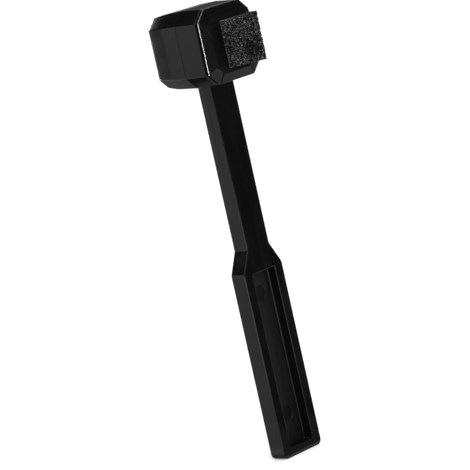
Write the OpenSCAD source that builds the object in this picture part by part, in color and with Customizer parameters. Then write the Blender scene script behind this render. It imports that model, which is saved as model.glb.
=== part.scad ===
// Lens cleaning stick: a flat moulded handle carries a hammer-shaped head.
// The head is two shells that close round the handle's tang. A pad holder
// plugs into the mouth of the front shell and carries a foam cleaning pad.
//
// Frame: +Z runs from the grip's end to the head, the pad faces -Y, and the
// origin is the centre of the grip's end face.

/* [Handle] */
// Width of the grip
grip_w = 14.7; // [12:0.1:20]
// Length of the grip, from its end to the shoulder
grip_l = 50.2; // [40:0.1:70]
// Thickness of the grip, the neck and the tang
handle_t = 4.9; // [4:0.1:6]
// Radius of the two corners at the grip's end
grip_corner_r = 1.6; // [0.5:0.1:3]
// Length of the sloping shoulder between grip and neck
shoulder_l = 5.8; // [3:0.1:12]
// Width of the neck where it leaves the shoulder
neck_w = 8.4; // [6:0.1:10]
// Length of the neck, from the shoulder to the head
neck_l = 44.3; // [25:0.1:70]
// Width of the tang inside the head
tang_w = 8.5; // [6:0.1:10]
// Length of the tang inside the head
tang_l = 13.6; // [12:0.1:15]

/* [Pocket in the grip] */
// Width of the pocket at the grip's end
pocket_w = 8.8; // [6:0.1:10]
// How much narrower the pocket is at its neck end
pocket_taper = 0.1; // [0:0.1:1.5]
// Rim left between the pocket and the grip's end
pocket_end_rim = 2.4; // [1:0.1:6]
// Rim left between the pocket and the shoulder
pocket_neck_rim = 0.6; // [0.4:0.1:4]
// Thickness of the floor left under the pocket
pocket_floor = 1.9; // [1:0.1:2.2]
// Radius of the round marks in the pocket's floor
mark_r = 2; // [1:0.1:3]
// Depth of the round marks
mark_depth = 0.35; // [0.1:0.05:0.6]
// Distance from the pocket's neck end to the first mark's centre
mark_from_neck = 6; // [4:0.1:10]
// Distance from the pocket's other end to the second mark's centre
mark_from_end = 8.1; // [4:0.1:12]
// Height of the low step at the pocket's neck end
step_h = 0.2; // [0.1:0.05:0.5]
// Width of the low step
step_w = 6; // [4.5:0.1:8]

/* [Head] */
// Width of the head at its mouth
head_w = 19.1; // [17:0.1:24]
// Height of the head at its mouth
head_h = 19.7; // [17:0.1:24]
// Leg of the chamfers on the head's four long edges
head_chamfer = 3; // [2:0.1:4]
// Depth of the front shell, from the joint between the shells to the mouth
front_depth = 7; // [6:0.1:9]
// Depth of the rear shell, from the joint to the back
rear_depth = 11.1; // [8:0.1:14]
// How far the head swells out at the joint between the shells
joint_swell = 0.3; // [0.1:0.05:0.6]
// Length of the tapered stretch at the back of the head
back_taper_l = 3.8; // [2:0.1:6]
// How far the back face is set in
back_inset = 0.7; // [0.3:0.05:1.2]
// Wall thickness of both shells
shell_wall = 1.6; // [1.2:0.1:2]
// Thickness of the web that closes the front shell behind its mouth
web_t = 1.6; // [1.2:0.1:2]
// Width of the small bevel round the mouth
lip_bevel = 0.2; // [0.1:0.05:0.3]

/* [Shell fittings] */
// Thickness of the tongue on the rear shell
tongue_t = 0.7; // [0.5:0.05:0.9]
// Length of the tongue
tongue_l = 1.2; // [0.8:0.1:1.6]
// Radius of the pin that passes through the tang
pin_r = 1.5; // [1:0.1:2]
// How far the pin's end stays behind the front of the web
pin_setback = 0.4; // [0.1:0.05:1]
// Radius of the post behind the tang that the pin stands on
post_r = 2.6; // [2.4:0.1:3.5]
// Thickness of the ribs beside the post
rib_t = 1; // [0.8:0.1:1.4]
// Distance between the centres of the two ribs
rib_pitch = 8.8; // [8:0.1:10]

/* [Pad holder and pad] */
// Open groove between the front shell and the pad holder
groove = 0.5; // [0.3:0.05:1.5]
// Depth of the holder's rim, which narrows towards the groove for a fingernail
rim_depth = 0.65; // [0.4:0.05:1]
// How far the rim is drawn in where it meets the groove
rim_draw_in = 0.25; // [0.1:0.05:0.5]
// How far the bevel comes in from the rim to the flat
bevel_inset = 2.7; // [1:0.1:3]
// How far the flat stands in front of the rim
bevel_depth = 0.85; // [0.5:0.05:2]
// Wall thickness of the skirt that plugs into the mouth
skirt_wall = 1.2; // [0.8:0.1:1.6]
// Width of the pad
pad_w = 10.4; // [6:0.1:12]
// Height of the pad
pad_h = 12.8; // [6:0.1:14]
// Thickness of the pad
pad_t = 3.7; // [2:0.1:6]
// How far the pad's centre lies to the right of the head's centre
pad_offset = 2.3; // [-3:0.1:3]
// How far the pad's centre lies below the head's centre
pad_drop = 0.25; // [-1:0.05:1]
// Thickness of the adhesive layer under the pad
tape_t = 0.2; // [0.1:0.05:0.5]
// How far the adhesive layer's edges lie inside the pad's edges
tape_inset = 0.25; // [0:0.05:0.4]

/* [Clearances] */
// Clearance round the tang and between the fitted faces of the shells
fit_clearance = 0.1; // [0.05:0.01:0.2]
// Clearance round the sliding skirt
slide_clearance = 0.15; // [0.1:0.01:0.3]

/* [Hidden] */
$fn = 48;
cut = 1;
plastic = [0.07, 0.07, 0.07];
head_bottom_z = grip_l + shoulder_l + neck_l;
head_z = head_bottom_z + head_h / 2;
pocket_top_z = grip_l - pocket_neck_rim;
pocket_depth = handle_t - pocket_floor;
upper_mark_z = pocket_top_z - mark_from_neck;
lower_mark_z = pocket_end_rim + mark_from_end;
mouth_y = -front_depth;
web_rear_y = -handle_t / 2 - fit_clearance;
web_front_y = web_rear_y - web_t;
back_wall_y = rear_depth - shell_wall;
taper_y = rear_depth - back_taper_l;
rim_rear_y = mouth_y - groove;
rim_front_y = rim_rear_y - rim_depth;
flat_y = rim_front_y - bevel_depth;
skirt_end_y = web_front_y - fit_clearance;
skirt_inset = shell_wall + slide_clearance;
tape_front_y = flat_y - tape_t;

// The head's outline, a chamfered square, drawn in by an inset all round
function head_outline(inset) =
    let (a = head_w / 2 - inset,
         b = head_h / 2 - inset,
         c = head_chamfer - inset * (2 - sqrt(2)))
    [[a - c, b], [a, b - c], [a, c - b], [a - c, -b],
     [c - a, -b], [-a, c - b], [-a, b - c], [c - a, b]];

// A straight stretch of the head's outline, from one depth to another
module head_prism(y_front, y_rear, inset) {
    translate([0, y_rear, 0])
        rotate([90, 0, 0])
            linear_extrude(y_rear - y_front)
                polygon(head_outline(inset));
}

// A tapered stretch of the head's outline
module head_taper(y_front, inset_front, y_rear, inset_rear) {
    front = [for (p = head_outline(inset_front)) [p[0], y_front, p[1]]];
    rear = [for (p = head_outline(inset_rear)) [p[0], y_rear, p[1]]];
    n = len(front);
    polyhedron(
        points = concat(front, rear),
        faces = concat(
            [[for (i = [0:n - 1]) i]],
            [[for (i = [0:n - 1]) 2 * n - 1 - i]],
            [for (i = [0:n - 1]) [(i + 1) % n, i, i + n, (i + 1) % n + n]]));
}

// A rod along Y, centred on the head
module rod(r, y_front, y_rear) {
    translate([0, y_rear, 0])
        rotate([90, 0, 0])
            cylinder(r = r, h = y_rear - y_front);
}

// A plate of any outline in the XZ plane, from one depth to another
module plate(y_front, y_rear) {
    translate([0, y_rear, 0])
        rotate([90, 0, 0])
            linear_extrude(y_rear - y_front)
                children();
}

// A box centred on X, given by its width and its lowest and highest Y and Z
module block(w, y0, y1, z0, z1) {
    translate([-w / 2, y0, z0])
        cube([w, y1 - y0, z1 - z0]);
}

// What the rounding takes off one corner of the grip's end
module corner_waste() {
    difference() {
        translate([grip_w / 2 - grip_corner_r, -cut])
            square([grip_corner_r + cut, grip_corner_r + cut]);
        translate([grip_w / 2 - grip_corner_r, grip_corner_r])
            circle(r = grip_corner_r);
    }
}

// Grip with its rounded end, shoulder, neck and tang
module handle_outline() {
    tang_top_z = head_bottom_z + tang_l;
    difference() {
        polygon([
            [-grip_w / 2, 0], [-grip_w / 2, grip_l],
            [-neck_w / 2, grip_l + shoulder_l], [-tang_w / 2, head_bottom_z],
            [-tang_w / 2, tang_top_z], [tang_w / 2, tang_top_z],
            [tang_w / 2, head_bottom_z], [neck_w / 2, grip_l + shoulder_l],
            [grip_w / 2, grip_l], [grip_w / 2, 0]]);
        corner_waste();
        mirror([1, 0])
            corner_waste();
    }
}

module pocket_outline() {
    top_w = pocket_w - pocket_taper;
    polygon([
        [-pocket_w / 2, pocket_end_rim], [pocket_w / 2, pocket_end_rim],
        [top_w / 2, pocket_top_z], [-top_w / 2, pocket_top_z]]);
}

// The low step runs from the pocket's neck end down to the first mark's centre
module pocket_step_outline() {
    translate([-step_w / 2, upper_mark_z])
        square([step_w, mark_from_neck + cut]);
}

// Grip, shoulder, neck and tang in one moulding, cored out from the front
module handle() {
    front_y = -handle_t / 2;
    floor_y = front_y + pocket_depth;
    color(plastic)
        difference() {
            plate(front_y, handle_t / 2)
                handle_outline();
            difference() {
                plate(front_y - cut, floor_y)
                    pocket_outline();
                plate(floor_y - step_h, floor_y + cut)
                    pocket_step_outline();
            }
            for (z = [lower_mark_z, upper_mark_z])
                translate([0, 0, z])
                    rod(mark_r, floor_y - step_h, floor_y + mark_depth);
            translate([0, 0, head_z])
                rod(pin_r + fit_clearance, front_y - cut, handle_t / 2 + cut);
        }
}

// The slot in the head's bottom walls that the neck passes through
module neck_slot() {
    block(tang_w + 2 * fit_clearance, web_rear_y, -web_rear_y,
          -head_h / 2 - joint_swell - cut, 0);
}

// Back half of the head: a cup with a stepped post, two ribs and a tongue
module rear_shell() {
    tongue_inset = shell_wall - tongue_t;
    color(plastic)
        translate([0, 0, head_z]) {
            difference() {
                union() {
                    head_taper(0, -joint_swell, taper_y, 0);
                    head_taper(taper_y, 0, rear_depth, back_inset);
                    head_prism(-tongue_l, cut, tongue_inset);
                }
                head_prism(-tongue_l - cut, back_wall_y, shell_wall);
                neck_slot();
            }
            rod(post_r, -web_rear_y, back_wall_y);
            rod(pin_r, web_front_y + pin_setback, back_wall_y);
            intersection() {
                head_prism(0, back_wall_y, shell_wall);
                for (side = [-1, 1])
                    translate([side * rib_pitch / 2, 0, 0])
                        block(rib_t, -web_rear_y, rear_depth, -head_h, head_h);
            }
        }
}

// Front half of the head: an open mouth, closed by a web behind it
module front_shell() {
    rebate_inset = shell_wall - tongue_t - fit_clearance;
    color(plastic)
        translate([0, 0, head_z])
            difference() {
                union() {
                    head_taper(mouth_y, lip_bevel, mouth_y + lip_bevel, 0);
                    head_taper(mouth_y + lip_bevel, 0, 0, -joint_swell);
                }
                head_prism(mouth_y - cut, web_front_y, shell_wall);
                head_prism(web_rear_y, cut, shell_wall);
                head_prism(-tongue_l - fit_clearance, cut, rebate_inset);
                neck_slot();
                rod(pin_r + fit_clearance, web_front_y - cut, web_rear_y + cut);
            }
}

// Bevelled front plate with a hollow skirt that slides in the mouth
module pad_holder() {
    color(plastic)
        translate([0, 0, head_z]) {
            head_taper(flat_y, bevel_inset, rim_front_y, 0);
            head_taper(rim_front_y, 0, rim_rear_y, rim_draw_in);
            difference() {
                head_prism(rim_front_y, skirt_end_y, skirt_inset);
                head_prism(rim_rear_y, skirt_end_y + cut, skirt_inset + skirt_wall);
            }
        }
}

// A slab centred on the pad, standing on a face at a given depth
module pad_slab(y_face, thickness, inset) {
    translate([pad_offset, 0, head_z - pad_drop])
        block(pad_w - 2 * inset, y_face - thickness, y_face,
              inset - pad_h / 2, pad_h / 2 - inset);
}

module pad_tape() {
    color("gray")
        pad_slab(flat_y, tape_t, tape_inset);
}

module foam_pad() {
    color("dimgray")
        pad_slab(tape_front_y, pad_t, 0);
}

handle();
rear_shell();
front_shell();
pad_holder();
pad_tape();
foam_pad();
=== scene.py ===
# %% [markdown]
# # A lens cleaning stick in glossy black plastic
#
# The object is a small hand tool for wiping a lens: a flat moulded handle, a
# hammer-shaped head made of two shells, and a holder that plugs into the head
# and carries a block of grey foam. Almost everything is one black plastic, so
# its form is told by reflections alone. That makes it a good lesson in edges:
# a black solid with knife-sharp edges looks like a paper cut-out, and the same
# solid with small moulded radii reads at once as a real part.
#
# The solids arrive from CAD at their real size, in metres, and never move.
# This script dresses them: it rounds the edges as a mould would, grows the
# foam's cells, mixes the finishes, and lights the result.

# %% Load the frame
import math

import bmesh
import bpy
from mathutils import Matrix, Vector


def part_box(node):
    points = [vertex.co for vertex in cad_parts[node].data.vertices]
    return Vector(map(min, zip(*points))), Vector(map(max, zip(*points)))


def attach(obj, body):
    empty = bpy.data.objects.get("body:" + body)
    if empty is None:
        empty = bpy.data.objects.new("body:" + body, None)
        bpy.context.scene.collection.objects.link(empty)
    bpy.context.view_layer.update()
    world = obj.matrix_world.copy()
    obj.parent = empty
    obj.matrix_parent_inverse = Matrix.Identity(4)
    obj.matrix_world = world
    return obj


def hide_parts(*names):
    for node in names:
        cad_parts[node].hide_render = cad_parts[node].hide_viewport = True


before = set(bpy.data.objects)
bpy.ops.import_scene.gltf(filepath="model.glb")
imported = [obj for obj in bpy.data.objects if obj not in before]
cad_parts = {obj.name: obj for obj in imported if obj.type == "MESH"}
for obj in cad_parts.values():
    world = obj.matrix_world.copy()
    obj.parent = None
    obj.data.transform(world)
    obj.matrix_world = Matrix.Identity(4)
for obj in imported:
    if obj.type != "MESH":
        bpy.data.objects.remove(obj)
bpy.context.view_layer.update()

MM = 0.001

# %% [markdown]
# ## The camera comes first
#
# A long lens from the left and slightly above, tilted over to one side: the
# stick leans across the frame although it stands upright in its own frame. A
# camera could be given as a matrix of twelve numbers. An aim point, a distance
# and three angles say the same, and each of them can be changed by itself and
# understood without a drawing.

# %% Camera
AIM = Vector((-2.8, 2.25, 60.12)) * MM
CAMERA_DISTANCE = 734 * MM
CAMERA_AZIMUTH = math.radians(44.54)
CAMERA_PITCH = math.radians(9.01)
CAMERA_ROLL = math.radians(12.57)
LENS_MM = 216.0
SENSOR_MM = 36.0
UP = Vector((0, 0, 1))


def look_along(azimuth, pitch):
    """The direction of a camera that stands at the left front and looks down."""
    level = Vector((math.sin(azimuth), math.cos(azimuth), 0))
    return level * math.cos(pitch) - UP * math.sin(pitch)


def make_camera():
    forward = look_along(CAMERA_AZIMUTH, CAMERA_PITCH)
    level_right = forward.cross(UP).normalized()
    level_up = level_right.cross(forward)
    right = level_right * math.cos(CAMERA_ROLL) - level_up * math.sin(CAMERA_ROLL)
    up = right.cross(forward)
    data = bpy.data.cameras.new("camera")
    data.lens = LENS_MM
    data.sensor_width = SENSOR_MM
    camera = bpy.data.objects.new("camera", data)
    bpy.context.scene.collection.objects.link(camera)
    turn = Matrix((right, up, -forward)).transposed()
    camera.matrix_world = Matrix.Translation(AIM - forward * CAMERA_DISTANCE) @ turn.to_4x4()
    bpy.context.scene.camera = camera
    print("camera at", [round(v, 3) for v in camera.location])


make_camera()

# %% [markdown]
# ## Helpers for procedural materials
#
# Each finish is a small node tree around one Principled shader. Written node
# by node, such a tree fills a page. A class that makes a node from a few named
# values, and links a socket wherever it is handed one, brings it down to a few
# readable lines. Patterns read Object coordinates, in metres, so their scale is
# the real one: a scale of 1000 is one cell per millimetre.


# %% Material helpers
class Finish:
    """A material under construction: its nodes, its links and its shader."""

    def __init__(self, name, **shader_values):
        self.material = bpy.data.materials.new(name)
        self.material.use_nodes = True
        self.tree = self.material.node_tree
        self.shader = self.tree.nodes["Principled BSDF"]
        for socket, value in shader_values.items():
            self.shader.inputs[socket.replace("_", " ")].default_value = value
        self.place = self.node("ShaderNodeTexCoord").outputs["Object"]

    def node(self, kind, settings=None, **inputs):
        made = self.tree.nodes.new(kind)
        for name, value in (settings or {}).items():
            setattr(made, name, value)
        for name, value in inputs.items():
            self.feed(made.inputs[name.replace("_", " ")], value)
        return made

    def feed(self, socket, value):
        if isinstance(value, bpy.types.NodeSocket):
            self.tree.links.new(value, socket)
        else:
            socket.default_value = value

    def combine(self, operation, a, b):
        made = self.node("ShaderNodeMath", {"operation": operation})
        self.feed(made.inputs[0], a)
        self.feed(made.inputs[1], b)
        return made.outputs[0]

    def remap(self, value, low, high, to_low, to_high):
        made = self.node("ShaderNodeMapRange", {"clamp": True}, Value=value)
        for name, number in (("From Min", low), ("From Max", high),
                             ("To Min", to_low), ("To Max", to_high)):
            made.inputs[name].default_value = number
        return made.outputs["Result"]

    def set_grey(self, level):
        """Gives the shader a grey base colour that a socket sets."""
        colour = self.node("ShaderNodeCombineColor", Red=level, Green=level, Blue=level)
        self.feed(self.shader.inputs["Base Color"], colour.outputs["Color"])

    def bump(self, height, strength, distance):
        made = self.node("ShaderNodeBump", Height=height, Strength=strength, Distance=distance)
        self.feed(self.shader.inputs["Normal"], made.outputs["Normal"])


# %% [markdown]
# ## Patterns, and the places where they hold
#
# Real surfaces differ from place to place, by chance and by design. For chance
# there are noise and cells, which can be stretched along one axis into streaks.
# For design there is a box in the object's own millimetres: the pocket's floor
# has one finish and the outside another. A second material slot would do that
# too, but then one moulding would count as two materials, which it isn't.


# %% Pattern helpers
EDGE_OF_A_REGION = 0.05 * MM


class Patterned(Finish):
    """A finish whose values change from place to place."""

    def stretched(self, x, y, z):
        """Object coordinates scaled by a factor along each axis."""
        return self.node("ShaderNodeMapping", Vector=self.place, Scale=(x, y, z)).outputs["Vector"]

    def noise(self, place, scale, detail=2.0, roughness=0.5):
        return self.node("ShaderNodeTexNoise", Vector=place, Scale=scale,
                         Detail=detail, Roughness=roughness).outputs["Fac"]

    def cells(self, place, feature):
        """The outputs of a cell pattern, one cell to each unit of the place."""
        return self.node("ShaderNodeTexVoronoi", {"feature": feature},
                         Vector=place, Scale=1.0).outputs

    def within(self, axis, low, high):
        """1 where the place along an axis lies between two values, else 0."""
        place = self.node("ShaderNodeSeparateXYZ", Vector=self.place).outputs[axis]
        soft = EDGE_OF_A_REGION
        above = self.remap(place, low - soft, low + soft, 0.0, 1.0)
        below = self.remap(place, high - soft, high + soft, 1.0, 0.0)
        return self.combine("MULTIPLY", above, below)

    def region(self, **spans):
        """1 inside a box given by its spans along X, Y and Z, else 0."""
        inside = 1.0
        for axis, (low, high) in spans.items():
            inside = self.combine("MULTIPLY", inside, self.within(axis, low, high))
        return inside


# %% [markdown]
# ## Black moulded plastic
#
# Styrene out of a polished mould is black and glossy, but never perfect. Three
# faint things tell the eye that it is plastic and not glass: the roughness
# wanders in soft clouds where the melt cooled unevenly, flow lines run the way
# the melt ran, and the surface has a very shallow waviness. Hair-fine scuffs
# from handling go on top, as the cracks of a stretched cell pattern, shown in
# patches. Each is kept small, because strong noise would turn gloss into dirt.

# %% Plastic values and scuffs
PLASTIC_BLACK = 0.0036
PLASTIC_SPECULAR = 0.25
PLASTIC_IOR = 1.5
CLOUD_SCALE = 140
CLOUDS_AND_STREAKS = (0.7, 1.3)
STREAK_RANGE = (0.3, 0.7)
STREAK_SHADE = (0.8, 1.2)
SCUFF_STRETCH = (900, 900, 110)
SCUFF_WIDTH = 0.012
SCUFF_PATCH_SCALE = 260
SCUFF_PATCH_EDGE = (0.62, 0.72)
SCUFF_ROUGHNESS = 0.22
SCUFF_DUST = 0.01
WAVE_SCALE = 420
WAVE_DEPTH = 0.004 * MM
WAVE_STRENGTH = 0.5
STREAKS_IN_WAVES = 0.5


def scuffs(finish):
    """1 on a hair-fine scuff, else 0."""
    cracks = finish.cells(finish.stretched(*SCUFF_STRETCH), "DISTANCE_TO_EDGE")["Distance"]
    lines = finish.remap(cracks, 0.0, SCUFF_WIDTH, 1.0, 0.0)
    patches = finish.noise(finish.place, SCUFF_PATCH_SCALE)
    return finish.combine("MULTIPLY", lines, finish.remap(patches, *SCUFF_PATCH_EDGE, 0.0, 1.0))


print("plastic: black", PLASTIC_BLACK, "and waves", round(1000 * WAVE_DEPTH / MM), "micrometres deep")

# %% [markdown]
# ## One recipe for three mouldings
#
# The mouldings share their plastic, so they share one function. It takes what
# differs: the direction of flow, since the melt ran along the handle but from
# front to back over the head, a lift of the black that paints in the light that
# the head's and the holder's faces catch, the polish, and the places that are
# duller or darker than the rest, one of them darkened with painted shade. Three
# materials made by hand would drift apart with the first change.


# %% Plastic recipe
def black_plastic(name, flow, dull_and_shaded_places, painted_light_factor=1.0, polish=(0.10, 0.20)):
    """Glossy black styrene. flow is the stretch of the streaks along X, Y and Z.

    dull_and_shaded_places are (spans, roughness, brightness) of boxes with another finish or with
    painted shade.
    polish is the roughness where the surface is smoothest and where it is dullest."""
    finish = Patterned(name, Specular_IOR_Level=PLASTIC_SPECULAR, IOR=PLASTIC_IOR)
    clouds = finish.noise(finish.place, CLOUD_SCALE, detail=3)
    streaks = finish.noise(finish.stretched(*flow), 1, detail=4, roughness=0.6)
    scuffed = scuffs(finish)
    dull = finish.remap(finish.combine("ADD", clouds, streaks), *CLOUDS_AND_STREAKS, *polish)
    dull = finish.combine("ADD", dull, finish.combine("MULTIPLY", scuffed, SCUFF_ROUGHNESS))
    grey = finish.remap(streaks, *STREAK_RANGE, *STREAK_SHADE)
    # The factor lifts the black of the head and holder: painted light for the light their faces
    # catch.
    grey = finish.combine("MULTIPLY", grey, painted_light_factor * PLASTIC_BLACK)
    # A brightness below 1 in one of these places paints shade, as on the head's joint band.
    for spans, dullness, brightness in dull_and_shaded_places:
        inside = finish.region(**spans)
        dull = finish.combine("MAXIMUM", dull, finish.combine("MULTIPLY", inside, dullness))
        change = finish.combine("MULTIPLY", inside, brightness - 1)
        grey = finish.combine("MULTIPLY", grey, finish.combine("ADD", change, 1.0))
    finish.feed(finish.shader.inputs["Roughness"], dull)
    finish.set_grey(finish.combine("ADD", grey, finish.combine("MULTIPLY", scuffed, SCUFF_DUST)))
    ripples = finish.combine("MULTIPLY", streaks, STREAKS_IN_WAVES)
    waves = finish.noise(finish.place, WAVE_SCALE, detail=1)
    finish.bump(finish.combine("ADD", waves, ripples), WAVE_STRENGTH, WAVE_DEPTH)
    print(name, "with", len(finish.tree.nodes), "nodes")
    return finish.material


# %% [markdown]
# ## Where the gloss is broken
#
# Only the outside of the mould was polished. The pocket's floor, its step and
# the round marks were milled and left duller, and the holder's flat is satin so
# that the adhesive film grips. On the head, the narrow band at the joint of the
# two shells has painted shade: a rounded edge meets a crisp one there, the groove
# between them holds a line of shade, and the band's black is painted darker to
# deepen it. A thin dark strip laid over the joint could give that line too, but
# it would stand proud of the head.

# %% Three plastics
JOINT_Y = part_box("front_shell")[1].y
FLAT_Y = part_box("pad_holder")[0].y


def span(low, high):
    """A span given in millimetres."""
    return (low * MM, high * MM)


POCKET = dict(X=span(-4.45, 4.45), Y=span(0.5, 0.7), Z=span(2.3, 49.7))
POCKET_STEP = dict(X=span(-3.05, 3.05), Y=span(0.3, 0.45), Z=span(43.6, 49.7))
MARK_FLOOR = dict(X=span(-2.05, 2.05), Y=span(0.8, 1.0), Z=span(8.0, 46.0))
FLAT_FACE = dict(Y=(FLAT_Y - 0.10 * MM, FLAT_Y + 0.10 * MM))
# The band at the shells' joint, darkened with painted shade for the groove there.
PAINTED_JOINT_SHADE = dict(Y=(JOINT_Y - 0.10 * MM, JOINT_Y + 0.20 * MM))

handle_plastic = black_plastic(
    "handle_plastic", flow=(500, 500, 18),
    dull_and_shaded_places=[(POCKET, 0.40, 1.35), (POCKET_STEP, 0.5, 2.2), (MARK_FLOOR, 0.30, 1.1)])
# The head: a black lifted as painted light, and painted shade on the joint band.
head_plastic = black_plastic(
    "head_plastic", flow=(160, 30, 160), painted_light_factor=1.25, polish=(0.10, 0.17),
    dull_and_shaded_places=[(PAINTED_JOINT_SHADE, 0.1, 0.2)])
# The holder: a black lifted as painted light.
holder_plastic = black_plastic(
    "holder_plastic", flow=(900, 900, 40), painted_light_factor=1.15, polish=(0.09, 0.17),
    dull_and_shaded_places=[(FLAT_FACE, 0.24, 1.1)])

# %% [markdown]
# ## Rounding the edges of a moulding
#
# A CAD solid has sharp edges. The real moulding has a small radius wherever
# the mould was cut with a round tool: a quarter of a millimetre along the
# handle, less round the pocket's rim, almost none at one side of the head's
# joint. So one bevel for everything would be wrong. Instead each edge gets its
# own radius, written as a bevel weight by a small rule that looks at where the
# edge lies, and a single Bevel modifier reads those weights. The solid's
# triangles are first merged back into whole faces, or the bevel would round
# their diagonals.
#
# Weighted normals finish the job: the flat faces keep their flatness and all
# the shading change happens inside the narrow rounds.

# %% Bevelling helpers
LARGEST_RADIUS = 2.4 * MM
BEVEL_SEGMENTS = 4
WELD_DISTANCE = 0.002 * MM
SAME_PLANE = math.radians(0.6)
SHARP = math.radians(8)
ON_A_PLANE = 0.05 * MM


def middle(edge):
    return (edge.verts[0].co + edge.verts[1].co) / 2


def run_of(edge):
    return edge.verts[0].co - edge.verts[1].co


def weighted_mesh(source, name, radius_of):
    """A mesh of whole faces whose sharp edges carry their radii as bevel weights."""
    bm = bmesh.new()
    bm.from_mesh(source)
    bmesh.ops.remove_doubles(bm, verts=bm.verts, dist=WELD_DISTANCE)
    bmesh.ops.dissolve_limit(bm, angle_limit=SAME_PLANE, verts=bm.verts, edges=bm.edges)
    weights = bm.edges.layers.float.new("bevel_weight_edge")
    for edge in bm.edges:
        if len(edge.link_faces) == 2 and edge.calc_face_angle(0) > SHARP:
            edge[weights] = radius_of(edge) / LARGEST_RADIUS
    print(name, "-", sum(edge[weights] > 0 for edge in bm.edges), "edges rounded")
    mesh = bpy.data.meshes.new(name)
    bm.to_mesh(mesh)
    bm.free()
    return mesh


# %% [markdown]
# ## From modifiers to a plain mesh
#
# Modifiers stay editable, which is handy at a desk, but a piece that leaves
# Blender has to carry its final faces. So each piece is evaluated once and its
# modifiers are dropped. Then it gets its material, it is parented to an empty
# for the body it rides, and its CAD node is hidden.


# %% Dressing helpers
def settle(piece):
    """Applies every modifier, so that the piece is one plain mesh."""
    bpy.context.view_layer.update()
    graph = bpy.context.evaluated_depsgraph_get()
    plain = bpy.data.meshes.new_from_object(
        piece.evaluated_get(graph), preserve_all_data_layers=True, depsgraph=graph)
    piece.modifiers.clear()
    piece.data = plain
    plain.name = piece.name


def moulded_copy(node, name, radius_of):
    """A rounded copy of a CAD node. radius_of(edge) gives each sharp edge's radius."""
    piece = bpy.data.objects.new(name, weighted_mesh(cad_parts[node].data, name, radius_of))
    bpy.context.scene.collection.objects.link(piece)
    bevel = piece.modifiers.new("mould radii", "BEVEL")
    bevel.limit_method = "WEIGHT"
    bevel.width = LARGEST_RADIUS
    bevel.segments = BEVEL_SEGMENTS
    bevel.use_clamp_overlap = False
    bevel.miter_outer = "MITER_SHARP"
    normals = piece.modifiers.new("flat faces stay flat", "WEIGHTED_NORMAL")
    normals.keep_sharp = False
    normals.weight = 100
    piece.data.shade_smooth()
    settle(piece)
    print(name, "-", len(piece.data.polygons), "faces")
    return piece


def dress(piece, node, body, material):
    """Hands a finished piece to the frame in place of its CAD node."""
    piece.data.materials.clear()
    piece.data.materials.append(material)
    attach(piece, body)
    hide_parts(node)


# %% [markdown]
# ## The handle
#
# Grip, shoulder, neck and the tang that hides in the head are one flat bar,
# cored out from the front so that the plastic has an even wall. Its outline
# has soft outer edges; the pocket's rim is crisper, because the pocket is
# formed by a core, a block of its own let into the mould. The rule tells them
# apart by the wall that meets the edge: on the outline the wall faces away from
# the middle of the bar, and in the pocket it faces towards it. Where the grip's
# straight sides turn into the shoulder's slope, the round is wider.

# %% Handle
OUTLINE_RADIUS = 0.25 * MM
POCKET_RIM_RADIUS = 0.2 * MM
POCKET_CORNER_RADIUS = 0.3 * MM
MARK_RADIUS = 0.15 * MM
SHOULDER_BLEND = 0.8 * MM
SHOULDER_TURN = span(48, 52)
GRIP_MIDDLE = Vector((0, 0, 26)) * MM
POCKET_HALF_WIDTH = 4.8 * MM
POCKET_HEIGHT = span(2, 52)
HIDDEN_IN_HEAD = 0.5 * MM
SHORT = 2 * MM

handle_low, handle_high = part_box("handle")
head_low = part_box("front_shell")[0]


def wall_looks_out(edge):
    """True where the wall at an edge looks away from the bar's middle."""
    point = middle(edge)
    wall = max(edge.link_faces, key=lambda face: 1 - abs(face.normal.y))
    if abs(wall.normal.x) > 0.5:
        return wall.normal.dot(point - GRIP_MIDDLE) > 0
    in_height = POCKET_HEIGHT[0] < point.z < POCKET_HEIGHT[1]
    return not (in_height and abs(point.x) < POCKET_HALF_WIDTH)


def handle_radius(edge):
    point = middle(edge)
    if point.z > head_low.z + HIDDEN_IN_HEAD:
        return 0
    if min(abs(point.y - handle_low.y), abs(point.y - handle_high.y)) < ON_A_PLANE:
        return OUTLINE_RADIUS if wall_looks_out(edge) else POCKET_RIM_RADIUS
    if not edge.is_convex:
        return POCKET_CORNER_RADIUS if edge.calc_length() > SHORT else 0
    if abs(run_of(edge).y) < 1 * MM:
        return MARK_RADIUS
    turns = SHOULDER_TURN[0] < point.z < SHOULDER_TURN[1]
    return SHOULDER_BLEND if turns else OUTLINE_RADIUS


handle = moulded_copy("handle", "handle_moulding", handle_radius)
dress(handle, "handle", "stick", handle_plastic)

# %% [markdown]
# ## Which edges of the head are outside
#
# The head is two hollow shells, and only their skin is worth rounding: inside,
# rounds would cost faces that nobody sees. The head's outline is a square with
# its four long edges cut off. So the rule takes an edge's distance from the
# middle sideways, upwards and across the cut corners, and the largest of the
# three tells whether the edge is near the skin.

# %% Head helpers
SKIN_DEPTH = 1.5 * MM
CORNER_ALLOWANCE = 0.9 * MM
NECK_SLOT_HALF_WIDTH = 4.4 * MM
NECK_SLOT_HEIGHT = 2 * MM

front_low, front_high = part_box("front_shell")
rear_back_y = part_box("rear_shell")[1].y
head_centre = (front_low + front_high) / 2


def is_outside(edge):
    """True for an edge on the head's skin, not in its hollow."""
    point = middle(edge)
    half = (front_high.x - front_low.x) / 2
    side = abs(point.x - head_centre.x)
    rise = abs(point.z - head_centre.z)
    slant = (side + rise) / math.sqrt(2) + CORNER_ALLOWANCE
    return max(side, rise, slant) > half - SKIN_DEPTH


def is_neck_slot(edge):
    """True at the opening where the handle's neck enters."""
    point = middle(edge)
    return point.z < head_low.z + NECK_SLOT_HEIGHT and abs(point.x) < NECK_SLOT_HALF_WIDTH


print("head in mm:", [round((b - a) / MM, 2) for a, b in zip(front_low, front_high)])
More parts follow.
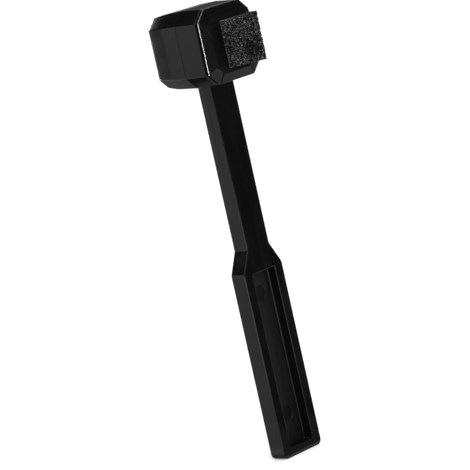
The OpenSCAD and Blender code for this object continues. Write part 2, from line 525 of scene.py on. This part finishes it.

# %% [markdown]
# ## The two shells of the head
#
# The head swells a little towards the joint between the shells, which lets each
# half leave its mould, and draws in over the last few millimetres at the back.
# The long edges and the back are softly rounded, and where the sides start to
# draw in there is hardly an edge at all. At the joint only the rear shell's edge
# is rounded. The front shell's edge stays crisp, with a radius that does no
# more than keep the shading of its flat sides even. One round edge against one
# crisp edge makes the fine dark line that shows where a housing comes apart, and
# painted shade on the joint band darkens that line further.

# %% Head shells
LONG_EDGE_RADIUS = 0.3 * MM
BACK_EDGE_RADIUS = 0.45 * MM
TAPER_RADIUS = 2.4 * MM
REAR_JOINT_RADIUS = 0.25 * MM
FRONT_JOINT_RADIUS = 0.02 * MM
LIP_RADIUS = 0.08 * MM
MOSTLY = 0.7


def belongs_to_rear(edge):
    """True where one of the edge's faces reaches back from the joint."""
    return max(face.calc_center_median().y for face in edge.link_faces) > JOINT_Y + 1 * MM


def shell_radius(edge):
    point = middle(edge)
    run = run_of(edge)
    if not is_outside(edge) or is_neck_slot(edge) or not edge.is_convex:
        return 0
    if abs(point.y - JOINT_Y) < ON_A_PLANE:
        return REAR_JOINT_RADIUS if belongs_to_rear(edge) else FRONT_JOINT_RADIUS
    if abs(run.y) > MOSTLY * run.length:
        return LONG_EDGE_RADIUS if run.length > 1 * MM else 0
    if point.y > rear_back_y - 0.1 * MM:
        return BACK_EDGE_RADIUS
    return TAPER_RADIUS if point.y > JOINT_Y + 2 * MM else LIP_RADIUS


rear = moulded_copy("rear_shell", "head_rear_shell", shell_radius)
dress(rear, "rear_shell", "stick", head_plastic)
front = moulded_copy("front_shell", "head_front_shell", shell_radius)
dress(front, "front_shell", "stick", head_plastic)

# %% [markdown]
# ## The pad holder
#
# A plate with a wide bevel all round, and behind it a skirt that plugs into
# the head. Its rim narrows towards the open groove, so that a fingernail can
# lift it. That narrow sloping rim catches the light from behind as one thin
# bright line, the strongest accent on the whole object, so its edges stay
# crisp: a large radius would swallow the rim. The edges of the flat and those
# between the bevel's facets are softer, as on a plate that is made to be
# touched.

# %% Pad holder
RIM_RADIUS = 0.1 * MM
FLAT_RADIUS = 0.5 * MM
FACET_RADIUS = 0.6 * MM
PLATE_DEPTH = 1.8 * MM
FACET_EDGE_DEPTH = 0.5 * MM
FACET_EDGE_LENGTH = 1.5 * MM


def holder_radius(edge):
    run = run_of(edge)
    depth = middle(edge).y - FLAT_Y
    if depth < ON_A_PLANE:
        return FLAT_RADIUS
    if depth > PLATE_DEPTH:
        return 0
    is_between_facets = abs(run.y) > FACET_EDGE_DEPTH and run.length > FACET_EDGE_LENGTH
    return FACET_RADIUS if is_between_facets else RIM_RADIUS


holder = moulded_copy("pad_holder", "pad_holder_moulding", holder_radius)
dress(holder, "pad_holder", "pad_carrier", holder_plastic)

# %% [markdown]
# ## Helpers for Geometry Nodes
#
# Foam is too fine to model by hand, but it follows a rule, and Geometry Nodes
# turn a rule into a mesh. A node tree for geometry is built as one for a
# material is: make a node, feed its inputs, hand its output on. Here the inputs
# that one may want to turn later become named dials of the tree.


# %% Geometry helpers
class NodeNet:
    """A geometry node tree under construction."""

    def __init__(self, name):
        self.tree = bpy.data.node_groups.new(name, "GeometryNodeTree")
        self.tree.interface.new_socket("Geometry", in_out="OUTPUT",
                                       socket_type="NodeSocketGeometry")
        self.start = self.tree.nodes.new("NodeGroupInput")
        self.end = self.tree.nodes.new("NodeGroupOutput")
        self.values = {}

    def dial(self, name, kind, value):
        """A named input of the tree and the value that it gets."""
        socket = self.tree.interface.new_socket(name, in_out="INPUT",
                                                socket_type="NodeSocket" + kind)
        self.values[socket.identifier] = value
        return self.start.outputs[name]

    def node(self, kind, settings=None, inputs=()):
        made = self.tree.nodes.new(kind)
        for name, value in (settings or {}).items():
            setattr(made, name, value)
        for name, value in dict(inputs).items():
            if isinstance(value, bpy.types.NodeSocket):
                self.tree.links.new(value, made.inputs[name])
            else:
                made.inputs[name].default_value = value
        return made

    def math(self, operation, a, b):
        return self.node("ShaderNodeMath", {"operation": operation}, {0: a, 1: b}).outputs[0]

    def vectors(self, operation, a, b):
        """Vector arithmetic. b is a number for SCALE and a vector otherwise."""
        second = "Scale" if operation == "SCALE" else 1
        return self.node("ShaderNodeVectorMath", {"operation": operation},
                         {0: a, second: b}).outputs[0]

    def vector(self, x=0.0, y=0.0, z=0.0):
        return self.node("ShaderNodeCombineXYZ", inputs={0: x, 1: y, 2: z}).outputs[0]

    def parts(self, vector):
        return self.node("ShaderNodeSeparateXYZ", inputs={0: vector}).outputs

    def moved(self, geometry, offset):
        return self.node("GeometryNodeSetPosition", inputs={
            "Geometry": geometry, "Offset": offset}).outputs[0]

    def run(self, piece, geometry):
        """Ends the tree with a geometry and runs it on a piece."""
        self.tree.links.new(geometry, self.end.inputs[0])
        modifier = piece.modifiers.new("nodes", "NODES")
        modifier.node_group = self.tree
        for identifier, value in self.values.items():
            modifier[identifier] = value
        settle(piece)


# %% [markdown]
# ## The block that the foam is cut from
#
# The pad is a block cut out of a sheet with a blade, so its upper and lower
# faces aren't quite square: both slope in a little towards its left side. The
# block is divided finely enough for each foam cell to get about five vertices
# across. The CAD block could be subdivided instead, but halving its faces over
# and over gives no choice of step, and a grid made from the pad's box does.

# %% Foam block
FOAM_STEP = 0.085 * MM
FOAM_TRIM_TOP = 0.45 * MM
FOAM_TRIM_BOTTOM = 0.5 * MM

pad_low, pad_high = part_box("foam_pad")


def fine_block(net, size, centre):
    """A block whose faces are divided into steps of equal length."""
    step = net.dial("Step", "Float", FOAM_STEP)
    counts = [net.math("ADD", net.math("DIVIDE", length, step), 1.0) for length in net.parts(size)]
    block = net.node("GeometryNodeMeshCube", inputs={
        "Size": size, "Vertices X": counts[0], "Vertices Y": counts[1],
        "Vertices Z": counts[2]}).outputs["Mesh"]
    return net.moved(block, centre)


def trimmed(net, block, place, size, centre):
    """Slopes the block's upper and lower faces, as a hand-held blade does."""
    trim_top = net.dial("Trim at the top", "Float", FOAM_TRIM_TOP)
    trim_bottom = net.dial("Trim at the bottom", "Float", FOAM_TRIM_BOTTOM)
    share = net.parts(net.vectors("DIVIDE", net.vectors("SUBTRACT", place, centre), size))
    leftness = net.math("SUBTRACT", 0.5, share[0])
    from_top = net.math("MULTIPLY", trim_top, net.math("ADD", share[2], 0.5))
    from_bottom = net.math("MULTIPLY", trim_bottom, net.math("SUBTRACT", 0.5, share[2]))
    lift = net.math("MULTIPLY", leftness, net.math("SUBTRACT", from_bottom, from_top))
    return net.moved(block, net.vector(z=lift))


print("pad in mm:", [round((b - a) / MM, 2) for a, b in zip(pad_low, pad_high)])

# %% [markdown]
# ## Open cells
#
# Coarse open-cell foam is a froth that has set: round cells of about half a
# millimetre, and where cells meet, thin struts. Cutting a block out of it
# opens the cells at the surface, so the cut face is a net of struts over dark
# pits. That shape is a Voronoi diagram: each point of the block is pushed in
# along its normal, by more the further it lies from the nearest cell wall. A
# bump map could fake the pits from the front, but not the ragged outline. The
# same distance is stored as an attribute, so the material can paint the shade
# of the pits exactly where the mesh has them.

# %% Foam cells
FOAM_CELL = 0.42 * MM
FOAM_PIT = 0.34 * MM
FOAM_RAGGED = 0.12 * MM
FOAM_SEED = 4.0
STRUT_TO_PIT = (0.03, 0.22)
LUMP_SCALE = 900.0
LUMP_LOWEST = 0.2


def openness(net, shifted):
    """0 on the wall between two cells, rising to 1 inside a cell."""
    cell = net.dial("Cell size", "Float", FOAM_CELL)
    wall = net.node("ShaderNodeTexVoronoi", {"feature": "DISTANCE_TO_EDGE"}, {
        "Vector": shifted, "Scale": net.math("DIVIDE", 1.0, cell)}).outputs["Distance"]
    return net.node("ShaderNodeMapRange", {"interpolation_type": "SMOOTHSTEP"}, {
        "Value": wall, "From Min": STRUT_TO_PIT[0],
        "From Max": STRUT_TO_PIT[1]}).outputs["Result"]


def cut_depth(net, shifted, open_cell):
    """How far the surface goes in: a pit for each cell, and an uneven cut."""
    pit = net.dial("Pit depth", "Float", FOAM_PIT)
    ragged = net.dial("Ragged cut", "Float", FOAM_RAGGED)
    lumps = net.node("ShaderNodeTexNoise", inputs={
        "Vector": shifted, "Scale": LUMP_SCALE, "Detail": 2.0}).outputs["Fac"]
    lump_depth = net.math("MULTIPLY", net.math("SUBTRACT", lumps, LUMP_LOWEST), ragged)
    return net.math("ADD", net.math("MULTIPLY", open_cell, pit), lump_depth)


def grow_foam(piece, material):
    net = NodeNet("open cell foam")
    size = net.dial("Size", "Vector", tuple(pad_high - pad_low))
    centre = net.dial("Centre", "Vector", tuple((pad_high + pad_low) / 2))
    seed = net.dial("Seed", "Float", FOAM_SEED)
    skin = net.dial("Material", "Material", material)
    place = net.node("GeometryNodeInputPosition").outputs[0]
    normal = net.node("GeometryNodeInputNormal").outputs[0]
    block = trimmed(net, fine_block(net, size, centre), place, size, centre)
    shifted = net.vectors("ADD", place, net.vector(seed, seed, seed))
    open_cell = openness(net, shifted)
    stored = net.node("GeometryNodeStoreNamedAttribute", {"data_type": "FLOAT"}, {
        "Geometry": block, "Name": "pit", "Value": open_cell}).outputs[0]
    inward = net.math("MULTIPLY", cut_depth(net, shifted, open_cell), -1.0)
    cut = net.moved(stored, net.vectors("SCALE", normal, inward))
    net.run(piece, net.node("GeometryNodeSetMaterial", inputs={
        "Geometry": cut, "Material": skin}).outputs[0])
    print(piece.name, "-", len(piece.data.polygons), "faces")


# %% [markdown]
# ## The foam's finish
#
# The foam is carbon-grey and quite matte. Its colour starts from the stored
# attribute: pale struts, and pits painted nearly black with the shade that falls
# in them. Seen close, foam is unevenly dark and sparkles a little, because each
# strut is a tiny polished facet and only a few face the light. So a second,
# finer pattern of grains paints that light in: every grain gets its own share of
# the strut's grey, and the few brightest grains a painted glint. One patch, low
# and a little right of the middle, is worn and darker.

# %% Foam finish
FOAM_ROUGHNESS = 0.85
FOAM_SPECULAR = 0.05
STRUT_GREY_AND_PIT_SHADE = (0.040, 0.0015)
GREY_ENDS_AT = 0.7
GRAIN_SIZE = (0.16 * MM, 0.16 * MM, 0.24 * MM)
GRAIN_CONTRAST = 2.5
GLINT_RARITY = 7.0
GLINT_BRIGHTNESS = 0.46
GLINT_EDGE = (0.35, 0.70)
GLINT_SHADE = (1.0, 0.2)
FUZZ_SCALE = 9000
FUZZ_STRENGTH = 0.3
FUZZ_DEPTH = 0.02 * MM
WORN_CENTRE = (0.58, 0.0, 0.32)
WORN_REACH = (1.2 * MM, 4.2 * MM)
WORN_TO_FRESH_SHADE = (0.45, 1.1)


def wear(finish):
    """The shade of the foam: darker round the middle of the worn patch."""
    centre = [low + share * (high - low)
              for low, high, share in zip(pad_low, pad_high, WORN_CENTRE)]
    away = finish.node("ShaderNodeVectorMath", {"operation": "DISTANCE"})
    finish.feed(away.inputs[0], finish.place)
    finish.feed(away.inputs[1], centre)
    return finish.remap(away.outputs["Value"], *WORN_REACH, *WORN_TO_FRESH_SHADE)


def foam_finish():
    finish = Patterned("pad_foam", Roughness=FOAM_ROUGHNESS, Specular_IOR_Level=FOAM_SPECULAR)
    pit = finish.node("ShaderNodeAttribute", {"attribute_name": "pit"}).outputs["Fac"]
    # The grey falls from the struts' grey to nearly black in the pits: painted shade.
    strut = finish.remap(pit, 0.0, GREY_ENDS_AT, *STRUT_GREY_AND_PIT_SHADE)
    grain = finish.cells(finish.stretched(*[1 / size for size in GRAIN_SIZE]), "F1")
    share = finish.node("ShaderNodeSeparateColor", Color=grain["Color"]).outputs[0]
    # Each grain's share of grey paints the light its facet catches, and the brightest grains get
    # painted glints.
    painted_facet_light = finish.combine("MULTIPLY", strut, finish.combine("POWER", share, GRAIN_CONTRAST))
    spot = finish.remap(grain["Distance"], *GLINT_EDGE, *GLINT_SHADE)
    glint = finish.combine("MULTIPLY", spot, finish.combine("POWER", share, GLINT_RARITY))
    glint = finish.combine("MULTIPLY", glint, GLINT_BRIGHTNESS)
    finish.set_grey(finish.combine("MULTIPLY", finish.combine("ADD", painted_facet_light, glint), wear(finish)))
    finish.bump(finish.noise(finish.place, FUZZ_SCALE), FUZZ_STRENGTH, FUZZ_DEPTH)
    print(finish.material.name, "with", len(finish.tree.nodes), "nodes")
    return finish.material


# %% [markdown]
# ## The pad and its film
#
# The pad rides the holder and takes the place of the plain CAD block.
# The adhesive film under it shows only as a thin edge, so it keeps its CAD
# shape, and a plain satin grey with a faint mottling is all it needs.

# %% Pad and film
FILM_ROUGHNESS = 0.45
FILM_GREY = (0.07, 0.13)
MOTTLE_SCALE = 2500
MOTTLE_RANGE = (0.3, 0.7)
MOTTLE_STRENGTH = 0.2
MOTTLE_DEPTH = 0.01 * MM


def film_finish():
    finish = Patterned("adhesive_film", Roughness=FILM_ROUGHNESS)
    mottle = finish.noise(finish.place, MOTTLE_SCALE, detail=3)
    finish.set_grey(finish.remap(mottle, *MOTTLE_RANGE, *FILM_GREY))
    finish.bump(mottle, MOTTLE_STRENGTH, MOTTLE_DEPTH)
    return finish.material


pad = bpy.data.objects.new("foam_pad_block", bpy.data.meshes.new("foam_pad_block"))
bpy.context.scene.collection.objects.link(pad)
grow_foam(pad, foam_finish())
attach(pad, "pad_carrier")
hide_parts("foam_pad")

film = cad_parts["pad_tape"]
film.data.materials.clear()
film.data.materials.append(film_finish())
print("film keeps its", len(film.data.polygons), "CAD faces")

# %% [markdown]
# ## A switch between being seen and giving light
#
# Some rays gather what the camera sees, directly or in a reflection, and others
# gather the light that falls on a surface. The Light Path node tells them apart,
# so a surface can look white without lighting what stands on it. Copies of the
# objects that are hidden from one kind of ray would do the same, but they would
# have to be kept in step.


# %% Light path switch
def seen_or_mirrored(tree):
    """1 for camera, glossy and transmission rays, else 0."""
    path = tree.nodes.new("ShaderNodeLightPath")
    total = path.outputs["Is Camera Ray"]
    for name in ("Is Glossy Ray", "Is Transmission Ray"):
        either = tree.nodes.new("ShaderNodeMath")
        either.operation = "MAXIMUM"
        tree.links.new(total, either.inputs[0])
        tree.links.new(path.outputs[name], either.inputs[1])
        total = either.outputs[0]
    return total


# %% [markdown]
# ## A white table
#
# The object stands on a white table. A table that simply glows would be white
# enough, but it would take no shadow, and the object would seem to float. So
# the table is a plain diffuse surface with just enough white added to bring it
# up to paper white. The switch limits that addition to what is seen, so the
# table throws no extra light at the object.

# %% Table
TABLE_SIZE = 12.0
TABLE_WHITE = 0.82
TABLE_ROUGHNESS = 0.6
TABLE_SPECULAR = 0.2
TABLE_LIFT = 0.33


def table_material():
    material = bpy.data.materials.new("white_table")
    material.use_nodes = True
    tree = material.node_tree
    shader = tree.nodes["Principled BSDF"]
    shader.inputs["Base Color"].default_value = (TABLE_WHITE, TABLE_WHITE, TABLE_WHITE, 1)
    shader.inputs["Roughness"].default_value = TABLE_ROUGHNESS
    shader.inputs["Specular IOR Level"].default_value = TABLE_SPECULAR
    shader.inputs["Emission Color"].default_value = (1, 1, 1, 1)
    lift = tree.nodes.new("ShaderNodeMath")
    lift.operation = "MULTIPLY"
    lift.inputs[1].default_value = TABLE_LIFT
    tree.links.new(seen_or_mirrored(tree), lift.inputs[0])
    tree.links.new(lift.outputs[0], shader.inputs["Emission Strength"])
    return material


def make_table():
    bm = bmesh.new()
    bmesh.ops.create_grid(bm, x_segments=2, y_segments=2, size=TABLE_SIZE / 2)
    mesh = bpy.data.meshes.new("table")
    bm.to_mesh(mesh)
    bm.free()
    table = bpy.data.objects.new("table", mesh)
    bpy.context.scene.collection.objects.link(table)
    mesh.materials.append(table_material())
    print("table:", TABLE_SIZE, "m wide")


make_table()

# %% [markdown]
# ## White surroundings
#
# Round the table the room is white too. The same switch makes the world fully
# white where it is seen directly or in a reflection, while its light on the
# object stays at a plain level.

# %% World
WORLD_LIGHT = 0.75
WORLD_SEEN = 1.0


def make_world():
    world = bpy.data.worlds.new("white_room")
    bpy.context.scene.world = world
    world.use_nodes = True
    tree = world.node_tree
    background = tree.nodes["Background"]
    background.inputs["Color"].default_value = (1, 1, 1, 1)
    level = tree.nodes.new("ShaderNodeMapRange")
    level.inputs["To Min"].default_value = WORLD_LIGHT
    level.inputs["To Max"].default_value = WORLD_SEEN
    tree.links.new(seen_or_mirrored(tree), level.inputs["Value"])
    tree.links.new(level.outputs["Result"], background.inputs["Strength"])
    print("world: light", WORLD_LIGHT, "and seen", WORLD_SEEN)


make_world()

# %% [markdown]
# ## Cards that only reflections see
#
# Glossy black shows whatever it faces. In an all-white room every side would
# go the same pale grey and the form would vanish, so a studio puts up black and
# grey cards where the faces would mirror the room. Real cards also block light
# and get in the view. These are seen by glossy rays alone: they shape the
# reflections and cast no shadow. Each is one face with an even glow, and its
# level says how bright it is, from 0 for black velvet upwards.


# %% Card helper
def make_card(name, corners, level):
    """A four-cornered card that only reflections see. level is how bright it is."""
    mesh = bpy.data.meshes.new(name)
    mesh.from_pydata([Vector(c) for c in corners], [], [(0, 1, 2, 3)])
    card = bpy.data.objects.new(name, mesh)
    bpy.context.scene.collection.objects.link(card)
    for sees in ("camera", "diffuse", "transmission", "volume_scatter", "shadow"):
        setattr(card, "visible_" + sees, False)
    material = bpy.data.materials.new(name)
    material.use_nodes = True
    tree = material.node_tree
    tree.nodes.remove(tree.nodes["Principled BSDF"])
    glow = tree.nodes.new("ShaderNodeEmission")
    glow.inputs["Color"].default_value = (level, level, level, 1)
    tree.links.new(glow.outputs[0], tree.nodes["Material Output"].inputs["Surface"])
    mesh.materials.append(material)


# %% [markdown]
# ## A bright line on the holder's rim
#
# The rim of the holder is a fraction of a millimetre wide and slopes away from
# the camera, so it mirrors a small part of the room behind the head. A small,
# very bright card stands there. Left alone it would also light the head's
# tapered back, its lower chamfers and the neck, so two black flags stand in
# front of it and leave open the gap that the rim looks through. A lamp in its
# place would light the foam and the table too.

# %% Cards behind the head
BACK_CARDS = [
    # name, distance behind the stick, (left, right), (low, high), level
    ("glint_card", 0.073, (-0.0235, -0.0070), (0.082, 0.112), 40.0),
    ("black_flag", 0.030, (-0.0104, 0.0140), (0.092, 0.123), 0.01),
    ("black_flag_low", 0.030, (-0.0200, -0.0050), (0.060, 0.078), 0.0),
]


def back_card(name, behind, sides, heights, level):
    """An upright card behind the stick, parallel to the head's back."""
    left, right = sides
    low, high = heights
    make_card(name, [(left, behind, low), (right, behind, low),
                     (right, behind, high), (left, behind, high)], level)


for card in BACK_CARDS:
    back_card(*card)
print("cards behind the head:", len(BACK_CARDS))

# %% [markdown]
# ## Cards that stand around the object
#
# These face the object like screens. The dark ones keep the front faces and the
# chamfers black, the grey ones let some faces go a shade lighter than their
# neighbours, and one large black card leans over from behind, so that the
# sloping faces don't mirror the ceiling. The one bright card high up at the
# back is caught by the rounded edges at the head's top and back.

# %% Standing cards
STANDING_CARDS = [
    # name, azimuth from +X towards +Y in degrees, distance, half width, (low, high), level, lean
    ("black_card_low", -45.5, 0.24, 0.035, (0.0005, 0.063), 0.0, 0.0),
    ("dark_card_middle", -45.5, 0.24, 0.050, (0.063, 0.125), 0.12, 0.0),
    ("dark_card_front", -38, 0.26, 0.135, (0.050, 0.42), 0.04, 0.0),
    ("dark_card_corner", -78, 0.50, 0.16, (0.13, 0.50), 0.02, 0.0),
    ("grey_card_front", -86, 0.50, 0.24, (0.0005, 0.13), 0.22, 0.0),
    ("black_card_above", 95, 0.60, 0.60, (0.24, 1.20), 0.0, -0.55),
    ("dim_card_right", 42, 0.55, 0.22, (0.125, 0.33), 0.09, 0.0),
    ("grey_card_back", 116, 0.50, 0.10, (0.0005, 0.20), 0.38, 0.0),
    ("dark_card_left", -135, 0.55, 0.20, (0.0005, 0.25), 0.15, 0.0),
    ("strip_light_high", 78, 0.50, 0.05, (0.25, 0.33), 120.0, 0.0),
    ("dark_card_joint", 182, 0.50, 0.20, (0.018, 0.075), 0.1, 0.0),
]


def standing_card(name, azimuth, distance, half_width, heights, level, lean):
    """A card that faces the object. lean moves its upper edge out or in."""
    turn = math.radians(azimuth)
    low, high = heights
    out = Vector((math.cos(turn), math.sin(turn), 0))
    half = Vector((-out.y, out.x, 0)) * half_width
    foot = out * distance + UP * low
    top = out * (distance + lean) + UP * high
    make_card(name, [foot - half, foot + half, top + half, top - half], level)


for card in STANDING_CARDS:
    standing_card(*card)
print("standing cards:", len(STANDING_CARDS))

# %% [markdown]
# ## Cards that lie on the table
#
# An upright glossy face seen from above mirrors the table, and every part of it
# mirrors another strip of the table. Strips of different grey lying there give
# the long flat faces of the handle their slow changes from black to grey, and
# one bright strip on the left lights the edges on that side. They lie a
# fraction of a millimetre apart in height, so that where two overlap it is
# clear which one is on top.

# %% Cards on the table
FLOOR_CARDS = [
    # name, ends of the near line, ends of the far line, level, height above the table
    ("grey_floor_front", ((0.10, -0.02), (0.19, -0.007)),
     ((-0.03, -0.28), (0.19, -0.28)), 0.97, 0.0003),
    ("grey_floor_right", ((0.19, -0.007), (0.38, 0.02)),
     ((0.19, -0.28), (0.38, -0.28)), 0.35, 0.0003),
    ("dark_floor_near", ((-0.012, -0.0026), (0.012, -0.0026)),
     ((0.008, -0.024), (0.033, -0.024)), 0.2, 0.0008),
    ("dark_floor_strip", ((0.004, -0.024), (0.036, -0.024)),
     ((0.164, -0.208), (0.215, -0.187)), 0.02, 0.0006),
    ("grey_floor_far", ((-0.298, 0.337), (-0.211, 0.397)),
     ((-0.861, 0.974), (-0.610, 1.148)), 0.70, 0.0005),
    ("grey_floor_back_a", ((-0.03, 0.06), (0.05, 0.06)),
     ((-0.025, 0.103), (0.06, 0.103)), 0.26, 0.0005),
    ("grey_floor_back_b", ((-0.025, 0.103), (0.06, 0.103)),
     ((-0.02, 0.145), (0.08, 0.145)), 0.39, 0.0005),
    ("grey_floor_back_c", ((-0.02, 0.145), (0.08, 0.145)),
     ((-0.015, 0.21), (0.11, 0.21)), 0.26, 0.0005),
    ("grey_floor_far_left", ((-0.508, 0.436), (-0.565, 0.367)),
     ((-0.974, 0.861), (-1.090, 0.708)), 0.82, 0.0005),
    ("bright_floor_left", ((-0.109, 0.051), (-0.090, -0.080)),
     ((-0.453, 0.211), (-0.360, -0.340)), 3.5, 0.0005),
    ("grey_floor_left", ((-0.064, -0.052), (0.006, 0.032)),
     ((-0.345, 0.220), (-0.215, 0.350)), 0.83, 0.0005),
]


def floor_card(name, near, far, level, height):
    """A card on the table between two lines, each given by two (x, y) ends."""
    ends = [near[0], near[1], far[1], far[0]]
    make_card(name, [(x, y, height) for x, y in ends], level)


for card in FLOOR_CARDS:
    floor_card(*card)
print("cards on the table:", len(FLOOR_CARDS))

# %% [markdown]
# ## Two lamps
#
# The white room lights the object evenly, which would leave the foam flat. A
# lamp from the upper left front gives its struts and pits a lit and a dark side,
# and a weaker one from the right keeps the dark sides open. Both are large and
# soft, because a small lamp would draw a hard shadow on the table.

# %% Lamps
LAMP_TARGET = Vector((0, 0, 0.06))
LAMPS = [
    # name, place, side length in metres, power in watts
    ("key_lamp", (-0.55, -0.75, 0.9), 0.5, 6.0),
    ("fill_lamp", (0.7, -0.3, 0.8), 0.6, 2.5),
]


def make_lamp(name, place, side, power):
    data = bpy.data.lights.new(name, "AREA")
    data.shape = "RECTANGLE"
    data.size = side
    data.size_y = side
    data.energy = power
    lamp = bpy.data.objects.new(name, data)
    bpy.context.scene.collection.objects.link(lamp)
    lamp.location = place
    lamp.rotation_euler = (LAMP_TARGET - Vector(place)).to_track_quat("-Z", "Y").to_euler()
    lamp.visible_camera = False
    print(name, "with", power, "W")


for lamp in LAMPS:
    make_lamp(*lamp)

# %% [markdown]
#
# The Standard view transform shows each colour as it is written.

# %% Finish
bpy.context.scene.view_settings.view_transform = "Standard"
